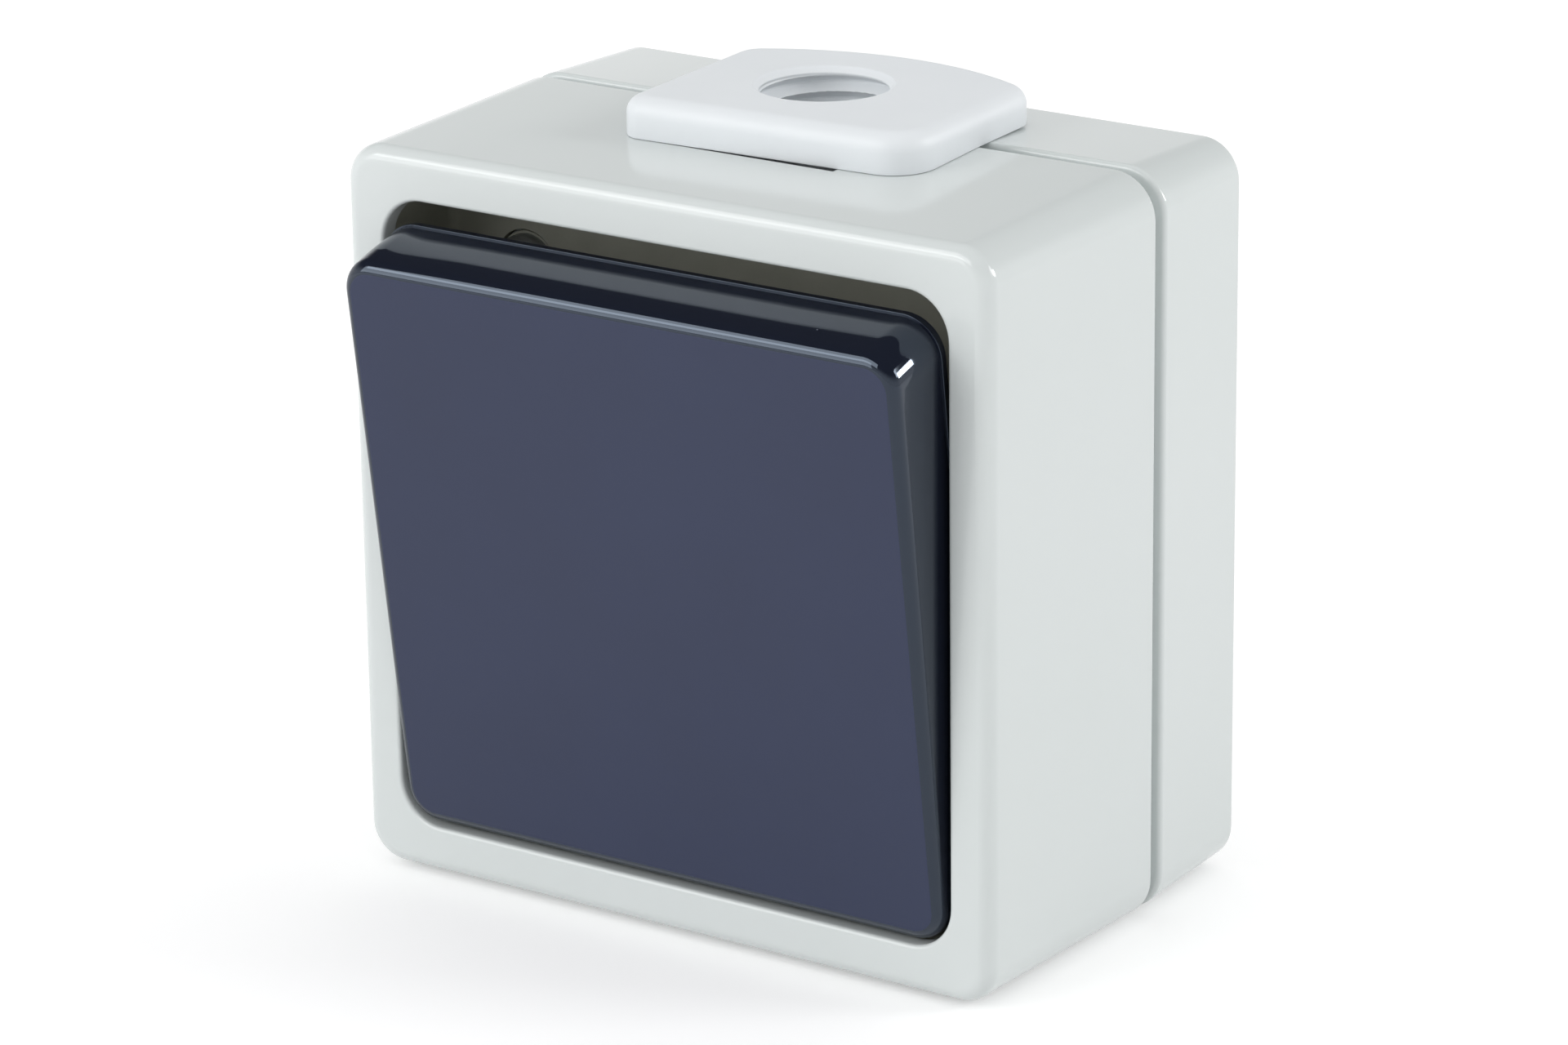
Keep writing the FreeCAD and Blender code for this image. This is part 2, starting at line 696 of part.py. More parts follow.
def make_earth_terminal():
    """A brass block on its pedestal with a way for the wire along Z."""
    front = -back_wall - earth_pedestal_height - earth_height
    block = brick(earth_x - earth_half, earth_x + earth_half, front, front + earth_height,
                  earth_z - earth_half, earth_z + earth_half)
    wire = Part.makeCylinder(earth_hole_radius, 2 * earth_half + 2,
                             at(earth_x, front + earth_height * 0.6, earth_z - earth_half - 1), ALONG_Z)
    thread = rod(terminal_screw_radius + screw_clearance, front - 1, front + earth_height * 0.6,
                 earth_x, earth_z)
    return block.cut([wire, thread]).Solids[0]


def make_earth_screw():
    front = -back_wall - earth_pedestal_height - earth_height
    return slotted_screw(earth_x, front, earth_z, terminal_head_radius, terminal_head_height,
                     terminal_screw_radius, front + earth_height * 0.35)


os.makedirs("parts", exist_ok=True)

# The housing and what is fixed in it
keep("rear_box", make_rear_box())
keep("front_cover", make_front_cover())
keep("well_seal", make_well_seal())
keep("box_gasket", make_box_gasket())
keep("cable_entry_plate", make_cable_entry_plate())
keep("bearing_frame", make_bearing_frame())
keep("switch_base", make_switch_base())
keep("common_terminal", make_common_terminal())
keep("upper_fixed_contact", make_strap(clamp_x, contact_offset))
keep("lower_fixed_contact", make_strap(clamp_x, -contact_offset))
keep("fixed_contact_rivets", *[rod(contact_radius, strap_front - fixed_rivet_height, strap_front, 0.0, z)
                               for z in (contact_offset, -contact_offset)])
keep("terminal_clamps", *[make_clamp(x, z) for x, z in clamp_places])
keep("terminal_screws", *[make_terminal_screw(x, z) for x, z in clamp_places])
keep("mechanism_screws", *[slotted_screw(x, frame_front, z, screw_head_radius, screw_head_height,
                                         screw_radius, base_rear + screw_bite)
                           for x, z in mechanism_screw_places])
keep("cover_screw_seals", *[make_washer(x, z) for x, z in cover_screw_places])
keep("cover_screws", *[slotted_screw(x, floor_front - washer_thickness, z, screw_head_radius,
                                     screw_head_height, screw_radius, floor_rear + screw_bite)
                       for x, z in cover_screw_places])
keep("earth_terminal", make_earth_terminal())
keep("earth_screw", make_earth_screw())

# The rocker, tilted about its trunnions so that its upper edge stands out
keep("rocker_cap", tilted(make_rocker_cap(), pivot_y, rocker_tilt))
keep("actuator", tilted(make_actuator(), pivot_y, rocker_tilt))
keep("plunger_spring", tilted(make_plunger_spring(), pivot_y, rocker_tilt))
keep("plunger", tilted(make_plunger(), pivot_y, rocker_tilt))

# The contact lever, tipped the other way so that its upper contact is closed
keep("contact_lever", tilted(make_contact_lever(), fulcrum_y, -lever_tilt))
keep("lever_contacts", *[tilted(rod(contact_radius, lever_rear, rivet_rear, 0.0, z), fulcrum_y, -lever_tilt)
                         for z in (contact_offset, -contact_offset)])
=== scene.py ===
# %% [markdown]
# # A weatherproof rocker switch for an outside wall
# The switch is a square housing in two halves, light grey and glossy, with a large slate-blue rocker that
# stands out at its top, and a white plate on the top face where the cable comes in. The inside was made in
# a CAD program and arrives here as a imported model: every node of it already lies in the right place.
# This lesson dresses it: the pieces that show get smooth surfaces worked out with numpy, the inner pieces
# keep their CAD meshes, and every one of them gets a material that is computed and not painted.

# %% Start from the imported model
import json
import math
import bmesh
import bpy
import numpy as np
from mathutils import Matrix, Vector


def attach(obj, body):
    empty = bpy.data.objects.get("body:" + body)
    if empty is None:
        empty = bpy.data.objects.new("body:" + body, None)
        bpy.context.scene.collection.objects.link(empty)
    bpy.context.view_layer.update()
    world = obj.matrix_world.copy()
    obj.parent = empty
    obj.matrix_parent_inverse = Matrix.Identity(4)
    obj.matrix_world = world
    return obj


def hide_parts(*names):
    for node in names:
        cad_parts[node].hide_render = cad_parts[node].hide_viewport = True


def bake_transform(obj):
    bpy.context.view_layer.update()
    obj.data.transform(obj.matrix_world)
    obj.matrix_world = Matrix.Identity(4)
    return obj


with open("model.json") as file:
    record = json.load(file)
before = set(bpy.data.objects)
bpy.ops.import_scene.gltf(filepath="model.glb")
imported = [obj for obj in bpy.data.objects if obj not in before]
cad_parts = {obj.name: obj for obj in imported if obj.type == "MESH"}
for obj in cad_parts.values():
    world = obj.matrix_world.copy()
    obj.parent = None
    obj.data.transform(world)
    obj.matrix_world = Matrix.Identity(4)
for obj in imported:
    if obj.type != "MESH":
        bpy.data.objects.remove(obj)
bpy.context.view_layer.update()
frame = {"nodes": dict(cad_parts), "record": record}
MM = 0.001

# %% [markdown]
# ## The sizes that the pieces share
# Blender works in metres, but a switch is drawn in millimetres, so the sizes stay in millimetres up to the
# moment when points go into a mesh. X runs to the right, Y towards the wall and Z up, from the middle of the
# face that lies on the wall. The same values as in the CAD source keep each new surface on its node.

# %% The sizes of the housing and the rocker
HOUSING = dict(half_x=33.0, half_z=33.2, radius=4.0)
OPENING = dict(half_x=28.5, half_z=28.4, radius=4.0)
WINDOW = dict(half_x=13.0, half_z=8.0, radius=2.0)
TONGUE = dict(half_x=31.6, half_z=31.8, radius=2.6)
BOX_INSIDE = dict(half_x=30.4, half_z=30.6, radius=2.6)
COVER_INSIDE = dict(half_x=31.0, half_z=31.2, radius=2.6)
REBATE = dict(half_x=31.8, half_z=32.0, radius=2.8)
box_front = -13.2
cover_rear = -14.7
cover_front = -39.7
tongue_end = -17.2
rebate_end = -18.0
pocket_front = -37.9
floor_front = -28.4
floor_rear = -26.8
seal_front = -29.4
pivot_y = -30.8
rocker_tilt = math.radians(7.6)
entry_y = -14.6
entry_turn = math.radians(2.4)
print("cover", cover_rear - cover_front, "mm deep, box", -box_front, "mm deep")

# %% [markdown]
# ## Rings: one outline, many sizes
# Nearly every piece of this switch is a rounded square that changes its size along the depth. So the basic
# shape is a ring: four quarter circles joined by straight sides, always with the same number of points in
# the same order. When all rings match point by point, the skin between them is plain quads. Drawing such a
# body by hand and bevelling it would also work, but a ring can follow a fillet exactly, and its straight
# sides stay straight.

# %% Rings of matched points
CORNER_STEPS = 12
SIDE_STEPS = 6


def rings(half_x, half_z, radius, inset, depth, centre=(0.0, 0.0)):
    """One ring for each pair of inset and depth, in mm, as an array of rings by points by x, y, z.

    The rectangle's half sizes and its corner radius all shrink by the inset. In each corner the angle t runs
    over a quarter turn: x = centre + radius times cos t, z = centre + radius times sin t. The points of a
    straight side lie at equal shares between two corners.
    """
    inset, depth = np.broadcast_arrays(np.atleast_1d(inset).astype(float), np.atleast_1d(depth).astype(float))
    r = np.maximum(np.broadcast_to(radius, inset.shape) - inset, 0.05)
    reach = np.stack([half_x - inset - r, half_z - inset - r], -1)
    turn = np.radians(90.0 * np.arange(4)[:, None] + np.linspace(0.0, 90.0, CORNER_STEPS + 1))
    side = np.array([[1, 1], [-1, 1], [-1, -1], [1, -1]], float)
    corner = (side[None, :, None, :] * reach[:, None, None, :]
              + r[:, None, None, None] * np.stack([np.cos(turn), np.sin(turn)], -1)[None])
    leave = corner[:, :, -1:, :]
    arrive = np.roll(corner[:, :, :1, :], -1, axis=1)
    share = np.linspace(0.0, 1.0, SIDE_STEPS + 1)[1:-1][None, None, :, None]
    outline = np.concatenate([corner, leave + (arrive - leave) * share], 2).reshape(len(depth), -1, 2)
    y = np.broadcast_to(depth[:, None], outline.shape[:2])
    return np.stack([outline[..., 0] + centre[0], y, outline[..., 1] + centre[1]], -1)


print("points in a ring:", rings(10, 10, 2, 0, 0).shape[1])

# %% [markdown]
# ## Profiles with soft corners
# A moulded part has no truly sharp edge, and light shows it: each edge carries a thin bright line. So the
# profile along the depth is a line of corners, each with its own small radius. A bevel modifier would do
# something similar after the fact, but here the radius of each edge is known and can be written down.

# %% Round the corners of a profile
def soft_profile(corners, radii, steps=8, support=0.05):
    """The line through the corners (inset, depth) with an arc in each corner that has a radius.

    At a corner the line arrives along a and leaves along b. The arc touches both lines at a distance of
    radius times tan(half the turn). Its centre lies on the line that halves the corner, and the points run
    along it in equal angles. A support point on each side keeps the flat parts flat when shaded smoothly.
    """
    corners = np.asarray(corners, float)
    pieces = [corners[:1]]
    for before, here, after, radius in zip(corners[:-2], corners[1:-1], corners[2:], radii[1:-1]):
        if radius == 0:
            pieces.append(here[None])
            continue
        a = (here - before) / np.linalg.norm(here - before)
        b = (after - here) / np.linalg.norm(after - here)
        turn = math.acos(np.clip(a @ b, -1, 1))
        touch = radius * math.tan(turn / 2)
        middle = here + (b - a) / np.linalg.norm(b - a) * radius / math.cos(turn / 2)
        out_a = (here - a * touch - middle) / radius
        out_b = (here + b * touch - middle) / radius
        share = np.linspace(0.0, 1.0, steps + 1)[:, None]
        swing = (np.sin((1 - share) * turn) * out_a + np.sin(share * turn) * out_b) / math.sin(turn)
        ends = (here - a * (touch + support))[None], (here + b * (touch + support))[None]
        pieces += [ends[0], middle + radius * swing, ends[1]]
    pieces.append(corners[-1:])
    return np.concatenate(pieces)


def along(outline, corners, radii=None, steps=8, centre=(0.0, 0.0)):
    """The rings of one outline along a soft profile."""
    line = soft_profile(corners, radii or [0] * len(corners), steps)
    return rings(**outline, inset=line[:, 0], depth=line[:, 1], centre=centre)


print("a quarter turn gives", len(soft_profile([(0, 0), (0, 1), (1, 1)], [0, 0.5, 0])), "points")

# %% [markdown]
# ## The skin over the rings
# The skin joins each ring to the next with quads. A body such as the cover, which has a hole through its
# middle, closes like a tyre: its last ring joins its first. A body without a hole is closed by a point in
# the middle of its first and last ring. Edges that turn by more than 25 degrees are marked sharp, and the
# rest is shaded smoothly.

# %% Skin rings into a mesh
def skin(name, stack, closed_like="tyre"):
    """A mesh object from rings in mm.

    The quad at ring i and point j joins points (i, j), (i, j + 1), (i + 1, j + 1) and (i + 1, j), where j
    wraps round.
    """
    stack = np.asarray(stack, float)
    count, around = stack.shape[:2]
    number = np.arange(count * around).reshape(count, around)
    lower = number if closed_like == "tyre" else number[:-1]
    upper = np.roll(number, -1, axis=0) if closed_like == "tyre" else number[1:]
    quads = np.stack([lower, np.roll(lower, -1, 1), np.roll(upper, -1, 1), upper], -1).reshape(-1, 4)
    points = stack.reshape(-1, 3)
    faces = quads.tolist()
    if closed_like != "tyre":
        points = np.concatenate([points, stack[:1].mean(1), stack[-1:].mean(1)])
        first, last = number[0], number[-1]
        faces += np.stack([first, np.roll(first, -1), np.full(around, count * around)], -1).tolist()
        faces += np.stack([np.roll(last, -1), last, np.full(around, count * around + 1)], -1).tolist()
    mesh = bpy.data.meshes.new(name)
    mesh.from_pydata((points * MM).tolist(), [], faces)
    edit = bmesh.new()
    edit.from_mesh(mesh)
    bmesh.ops.remove_doubles(edit, verts=edit.verts, dist=2e-7)
    bmesh.ops.dissolve_degenerate(edit, edges=edit.edges, dist=2e-7)
    bmesh.ops.recalc_face_normals(edit, faces=edit.faces)
    edit.to_mesh(mesh)
    edit.free()
    piece = bpy.data.objects.new(name, mesh)
    bpy.context.scene.collection.objects.link(piece)
    return piece


def shade(piece, degrees=25.0):
    """Smooth shading that keeps edges sharp where the surface turns by more than this."""
    piece.data.polygons.foreach_set("use_smooth", np.ones(len(piece.data.polygons), bool))
    piece.data.set_sharp_from_angle(angle=math.radians(degrees))
    return piece


def bar(outline, front, rear, centre=(0.0, 0.0), soft=0.0):
    """A solid bar along Y with this outline, its two rims rounded by soft."""
    line = [(0, front), (0, rear)]
    if soft:
        line = soft_profile([(1, front), (0, front), (0, rear), (1, rear)], [0, soft, soft, 0], 4)
        line = line[1:-1]
    line = np.asarray(line, float)
    return skin("bar", rings(**outline, inset=line[:, 0], depth=line[:, 1], centre=centre), "pebble")


def disc(radius):
    """The outline of a round bar or hole."""
    return dict(half_x=radius, half_z=radius, radius=radius)


def box_of(low, high):
    """A bar with square corners between two corner points."""
    outline = dict(half_x=(high[0] - low[0]) / 2, half_z=(high[2] - low[2]) / 2, radius=0.06)
    return bar(outline, low[1], high[1], ((low[0] + high[0]) / 2, (low[2] + high[2]) / 2))


def combine(piece, others, operation):
    """Adds or cuts solids. The result is a plain mesh with no modifier left on it."""
    for other in others:
        modifier = piece.modifiers.new(operation, "BOOLEAN")
        modifier.object = other
        modifier.operation = operation
        modifier.solver = "EXACT"
    graph = bpy.context.evaluated_depsgraph_get()
    result = bpy.data.meshes.new_from_object(piece.evaluated_get(graph), depsgraph=graph)
    piece.modifiers.clear()
    old = piece.data
    piece.data = result
    result.name = piece.name
    bpy.data.meshes.remove(old)
    for other in others:
        shape = other.data
        bpy.data.objects.remove(other)
        bpy.data.meshes.remove(shape)
    return piece


def move_points(piece, change):
    """Gives a piece's points, in mm, to a function and takes back where they go."""
    corners = np.empty(len(piece.data.vertices) * 3)
    piece.data.vertices.foreach_get("co", corners)
    piece.data.vertices.foreach_set("co", (change(corners.reshape(-1, 3) / MM) * MM).ravel())
    return piece


print("helpers for skins, bars and cuts are ready")

# %% [markdown]
# ## Colours and nodes
# A colour picked from a screen is in sRGB, and Blender mixes light in linear values, so one function turns
# the hex value round. A second function adds a node: its settings, the values of its inputs, and the links
# that come into it. With these two, each material below reads like a recipe.

# %% Two helpers for materials
def linear(code, alpha=1.0):
    """An sRGB hex value as linear red, green, blue: (c + 0.055) / 1.055 to the power 2.4, or c / 12.92 if dark."""
    c = np.array([int(code[i:i + 2], 16) for i in (0, 2, 4)]) / 255
    return tuple(np.where(c <= 0.04045, c / 12.92, ((c + 0.055) / 1.055) ** 2.4)) + (alpha,)


def add_node(tree, kind, inputs=None, **settings):
    """One node with its settings. An input takes a value, or a link from another node's output."""
    made = tree.nodes.new("ShaderNode" + kind)
    for name, value in settings.items():
        setattr(made, name, value)
    for key, value in (inputs or {}).items():
        if isinstance(value, bpy.types.NodeSocket):
            tree.links.new(value, made.inputs[key])
        else:
            made.inputs[key].default_value = value
    return made


def new_material(name, **sockets):
    """A material with one principled shader, whose uniform values go on its own sockets."""
    material = bpy.data.materials.new(name)
    material.use_nodes = True
    tree = material.node_tree
    tree.nodes.clear()
    shader = add_node(tree, "BsdfPrincipled", {key.replace("_", " "): value for key, value in sockets.items()})
    add_node(tree, "OutputMaterial", {"Surface": shader.outputs["BSDF"]})
    where = add_node(tree, "TexCoord").outputs["Object"]
    return material, tree, shader, where


print("mid grey in linear light:", round(linear("808080")[0], 3))

# %% [markdown]
# ## Light grey housing: moulded thermoset
# Switch housings for outside are moulded in a hard, dense plastic from a polished tool. The eye reads three
# things: a sharp mirror image at a flat angle, very slow waves in that image left by the mould, and a colour
# that is almost but not quite even. Tiny dark specks of dust sit here and there. All of it is bump and
# colour from noise on object coordinates, sized in millimetres.

# %% Make the housing plastic
def housing_plastic():
    """Gloss with slow waves 9 mm long, faint clouds 25 mm wide and specks 0.25 mm wide."""
    material, tree, shader, where = new_material("moulded thermoset light grey", Roughness=0.12, IOR=1.45)
    clouds = add_node(tree, "TexNoise", {"Vector": where, "Scale": 1 / 0.025, "Detail": 3.0})
    tone = add_node(tree, "Mix", {"Factor": clouds.outputs["Fac"], 6: linear("D5DBDA"), 7: linear("DADFDF")},
                    data_type="RGBA")
    cells = add_node(tree, "TexVoronoi", {"Vector": where, "Scale": 1 / 0.006})
    chance = add_node(tree, "SeparateColor", {"Color": cells.outputs["Color"]})
    rare = add_node(tree, "Math", {0: chance.outputs["Red"], 1: 0.82}, operation="GREATER_THAN")
    near = add_node(tree, "MapRange", {"Value": cells.outputs["Distance"], "From Min": 0.012, "From Max": 0.02,
                                       "To Min": 1.0, "To Max": 0.0})
    speck = add_node(tree, "Math", {0: rare.outputs[0], 1: near.outputs["Result"]}, operation="MULTIPLY")
    dusty = add_node(tree, "Mix", {"Factor": speck.outputs[0], 6: tone.outputs[2], 7: linear("A9ACAA")},
                     data_type="RGBA")
    waves = add_node(tree, "TexNoise", {"Vector": where, "Scale": 1 / 0.009, "Detail": 1.0})
    bump = add_node(tree, "Bump", {"Height": waves.outputs["Fac"], "Distance": 0.000006, "Strength": 1.0})
    tree.links.new(dusty.outputs[2], shader.inputs["Base Color"])
    tree.links.new(bump.outputs["Normal"], shader.inputs["Normal"])
    return material


HOUSING_PLASTIC = housing_plastic()
print("made", HOUSING_PLASTIC.name)

# %% [markdown]
# ## The rocker: one plastic, two finishes
# The rocker is moulded in one dark slate plastic. Its tool was sparked on the face, which leaves a fine
# satin grain, and polished on the skirt, which stays as glossy as glass. The face spreads the light of the
# room and looks paler and bluer. The skirt mirrors what is beside it, so it runs from nearly black to the
# grey of the rim. Two materials on one mesh show that, and dust grains lie on both.

# %% Make the two rocker finishes
def rocker_face_plastic():
    """Satin grain 0.12 mm wide, drawn as 0.2 mm so that it shows, with clouds 14 mm wide and pale dust."""
    material, tree, shader, where = new_material("sparked satin slate plastic", IOR=1.5)
    clouds = add_node(tree, "TexNoise", {"Vector": where, "Scale": 1 / 0.014, "Detail": 4.0})
    tone = add_node(tree, "Mix", {"Factor": clouds.outputs["Fac"], 6: linear("182342"), 7: linear("1D294A")},
                    data_type="RGBA")
    cells = add_node(tree, "TexVoronoi", {"Vector": where, "Scale": 1 / 0.0035})
    chance = add_node(tree, "SeparateColor", {"Color": cells.outputs["Color"]})
    rare = add_node(tree, "Math", {0: chance.outputs["Green"], 1: 0.86}, operation="GREATER_THAN")
    near = add_node(tree, "MapRange", {"Value": cells.outputs["Distance"], "From Min": 0.012, "From Max": 0.024,
                                       "To Min": 0.35, "To Max": 0.0})
    speck = add_node(tree, "Math", {0: rare.outputs[0], 1: near.outputs["Result"]}, operation="MULTIPLY")
    dusty = add_node(tree, "Mix", {"Factor": speck.outputs[0], 6: tone.outputs[2], 7: linear("8E95A6")},
                     data_type="RGBA")
    grain = add_node(tree, "TexNoise", {"Vector": where, "Scale": 1 / 0.0002, "Detail": 2.0})
    shine = add_node(tree, "MapRange", {"Value": grain.outputs["Fac"], "To Min": 0.36, "To Max": 0.46})
    bump = add_node(tree, "Bump", {"Height": grain.outputs["Fac"], "Distance": 0.0000022, "Strength": 1.0})
    tree.links.new(dusty.outputs[2], shader.inputs["Base Color"])
    tree.links.new(shine.outputs["Result"], shader.inputs["Roughness"])
    tree.links.new(bump.outputs["Normal"], shader.inputs["Normal"])
    return material


def rocker_skirt_plastic():
    """Polished, with waves 6 mm long in the mirror image and pale dust grains 0.1 mm wide."""
    material, tree, shader, where = new_material("polished slate plastic", Roughness=0.06, IOR=1.6,
                                                 Specular_Tint=linear("D8EAFF"))
    cells = add_node(tree, "TexVoronoi", {"Vector": where, "Scale": 1 / 0.0016})
    chance = add_node(tree, "SeparateColor", {"Color": cells.outputs["Color"]})
    rare = add_node(tree, "Math", {0: chance.outputs["Red"], 1: 0.9}, operation="GREATER_THAN")
    near = add_node(tree, "MapRange", {"Value": cells.outputs["Distance"], "From Min": 0.03, "From Max": 0.05,
                                       "To Min": 0.8, "To Max": 0.0})
    speck = add_node(tree, "Math", {0: rare.outputs[0], 1: near.outputs["Result"]}, operation="MULTIPLY")
    dusty = add_node(tree, "Mix", {"Factor": speck.outputs[0], 6: linear("191D29"), 7: linear("8A8F9C")},
                     data_type="RGBA")
    waves = add_node(tree, "TexNoise", {"Vector": where, "Scale": 1 / 0.006, "Detail": 1.0})
    bump = add_node(tree, "Bump", {"Height": waves.outputs["Fac"], "Distance": 0.000003, "Strength": 1.0})
    tree.links.new(dusty.outputs[2], shader.inputs["Base Color"])
    tree.links.new(bump.outputs["Normal"], shader.inputs["Normal"])
    return material


ROCKER_FACE = rocker_face_plastic()
ROCKER_SKIRT = rocker_skirt_plastic()
print("made", ROCKER_FACE.name, "and", ROCKER_SKIRT.name)

# %% [markdown]
# ## White cable plate: soft moulded plastic
# The plate takes a cable or a gland, so it is a slightly softer plastic with a fine matt texture. It looks
# whiter and cooler than the housing, has no mirror image and shows a broad soft sheen on its rounded rim.

# %% Make the plate plastic
def plate_plastic():
    """Matt grain 0.15 mm wide, drawn as 0.25 mm, over faint clouds 8 mm wide."""
    material, tree, shader, where = new_material("matt moulded white plastic", Roughness=0.5, IOR=1.47)
    clouds = add_node(tree, "TexNoise", {"Vector": where, "Scale": 1 / 0.008, "Detail": 4.0})
    tone = add_node(tree, "Mix", {"Factor": clouds.outputs["Fac"], 6: linear("E5E9EC"), 7: linear("EAEEF1")},
                    data_type="RGBA")
    grain = add_node(tree, "TexNoise", {"Vector": where, "Scale": 1 / 0.00025, "Detail": 2.0})
    bump = add_node(tree, "Bump", {"Height": grain.outputs["Fac"], "Distance": 0.000004, "Strength": 1.0})
    tree.links.new(tone.outputs[2], shader.inputs["Base Color"])
    tree.links.new(bump.outputs["Normal"], shader.inputs["Normal"])
    return material


PLATE_PLASTIC = plate_plastic()
print("made", PLATE_PLASTIC.name)

# %% [markdown]
# ## Rubber: the lining of the well and the gasket
# Both are elastomers, pressed in a tool that was never polished. Rubber has almost no mirror image and a
# dusty bloom that lightens it in patches, so roughness is high and two tones are mixed by a soft noise. The
# lining looks dark because it lies deep in the shade of the rocker; its own tone is a pale grey.

# %% Make the rubbers
def rubber(name, dark, bloom):
    """Bloom in patches 5 mm wide over a grain 0.3 mm wide."""
    material, tree, shader, where = new_material(name, Roughness=0.72, IOR=1.5)
    patches = add_node(tree, "TexNoise", {"Vector": where, "Scale": 1 / 0.005, "Detail": 5.0})
    share = add_node(tree, "MapRange", {"Value": patches.outputs["Fac"], "From Min": 0.35, "From Max": 0.7})
    tone = add_node(tree, "Mix", {"Factor": share.outputs["Result"], 6: linear(dark), 7: linear(bloom)},
                    data_type="RGBA")
    grain = add_node(tree, "TexNoise", {"Vector": where, "Scale": 1 / 0.0003, "Detail": 2.0})
    bump = add_node(tree, "Bump", {"Height": grain.outputs["Fac"], "Distance": 0.00001, "Strength": 1.0})
    tree.links.new(tone.outputs[2], shader.inputs["Base Color"])
    tree.links.new(bump.outputs["Normal"], shader.inputs["Normal"])
    return material


SEAL_RUBBER = rubber("dark pressed rubber", "AEAFA2", "B8B9AC")
GASKET_RUBBER = rubber("grey pressed rubber", "8A938F", "959D99")
print("made", SEAL_RUBBER.name, "and", GASKET_RUBBER.name)

# %% [markdown]
# ## Metals of the mechanism
# Inside are zinc-plated steel, brass and silver. Sheet and screws are rolled or turned, so fine lines run
# one way: a noise stretched along one axis draws them. Plating adds small cloudy patches. A metal's colour
# is its mirror colour, so metallic is 1, and the light comes from the roughness alone.

# %% Make the metals
def worked_metal(name, dark, pale, rough_low, rough_high, line=0.0002, stretch=(1.0, 1.0, 0.03)):
    """Lines of this width in metres, stretched along the axis whose factor is small, over plating clouds."""
    material, tree, shader, where = new_material(name, Metallic=1.0)
    drawn = add_node(tree, "Mapping", {"Vector": where, "Scale": stretch})
    lines = add_node(tree, "TexNoise", {"Vector": drawn.outputs["Vector"], "Scale": 1 / line, "Detail": 3.0})
    clouds = add_node(tree, "TexNoise", {"Vector": where, "Scale": 1 / 0.003, "Detail": 3.0})
    tone = add_node(tree, "Mix", {"Factor": clouds.outputs["Fac"], 6: linear(dark), 7: linear(pale)},
                    data_type="RGBA")
    shine = add_node(tree, "MapRange", {"Value": lines.outputs["Fac"], "To Min": rough_low, "To Max": rough_high})
    bump = add_node(tree, "Bump", {"Height": lines.outputs["Fac"], "Distance": 0.000003, "Strength": 1.0})
    tree.links.new(tone.outputs[2], shader.inputs["Base Color"])
    tree.links.new(shine.outputs["Result"], shader.inputs["Roughness"])
    tree.links.new(bump.outputs["Normal"], shader.inputs["Normal"])
    return material


METALS = {
    "plated_steel": worked_metal("zinc plated steel", "B0B4BA", "C2C5C8", 0.25, 0.42),
    "spring_steel": worked_metal("drawn spring steel", "9DA0A4", "B2B5B8", 0.2, 0.34, 0.0001, (1.0, 0.05, 1.0)),
    "contact_brass": worked_metal("rolled brass", "BF9840", "D3AE5C", 0.22, 0.38),
    "contact_silver": worked_metal("pressed silver", "D2D2D0", "DEDEDC", 0.14, 0.26, 0.0001, (1.0, 1.0, 1.0)),
}
print("made", [m.name for m in METALS.values()])

# %% [markdown]
# ## Plastics of the mechanism
# The base is a black phenolic moulding and the cradle and plunger are acetal, a waxy white plastic that
# slides well. Light enters acetal a little, which rounds its look, so it gets a small share of subsurface
# scattering.

# %% Make the inner plastics
def inner_plastic(name, dark, pale, rough, waxy=0.0):
    """Faint clouds 4 mm wide and a grain 0.3 mm wide."""
    material, tree, shader, where = new_material(name, Roughness=rough, IOR=1.49, Subsurface_Weight=waxy,
                                                 Subsurface_Radius=(0.0006, 0.0005, 0.0004))
    clouds = add_node(tree, "TexNoise", {"Vector": where, "Scale": 1 / 0.004, "Detail": 4.0})
    tone = add_node(tree, "Mix", {"Factor": clouds.outputs["Fac"], 6: linear(dark), 7: linear(pale)},
                    data_type="RGBA")
    grain = add_node(tree, "TexNoise", {"Vector": where, "Scale": 1 / 0.0003, "Detail": 2.0})
    bump = add_node(tree, "Bump", {"Height": grain.outputs["Fac"], "Distance": 0.000005, "Strength": 1.0})
    tree.links.new(tone.outputs[2], shader.inputs["Base Color"])
    tree.links.new(bump.outputs["Normal"], shader.inputs["Normal"])
    return material


BASE_BLACK = inner_plastic("black phenolic", "26272A", "303134", 0.48)
WAXY_WHITE = inner_plastic("waxy acetal", "E1DFD6", "EAE8E1", 0.38, 0.25)
print("made", BASE_BLACK.name, "and", WAXY_WHITE.name)

# %% [markdown]
# ## The front cover
# The cover is a frame round the rocker: its sides lean in by a little over one degree for the mould, its front
# edge is rounded by 1.4 mm, and the opening has a crisp edge of its own. Behind the lip the wall steps back
# to hold the rubber lining. One profile carried round the square makes the whole of it in a single skin,
# closed like a tyre, because the window in the well's floor goes right through.

# %% Build the cover
def place(piece, body, slot, material, *nodes):
    """Says what a finished piece rides on, which nodes it stands for and what it is made of."""
    for one in material if isinstance(material, (list, tuple)) else [material]:
        piece.data.materials.append(one)
    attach(piece, body)
    if nodes:
        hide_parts(*nodes)
    print(piece.name, "has", len(piece.data.polygons), "faces")
    return piece


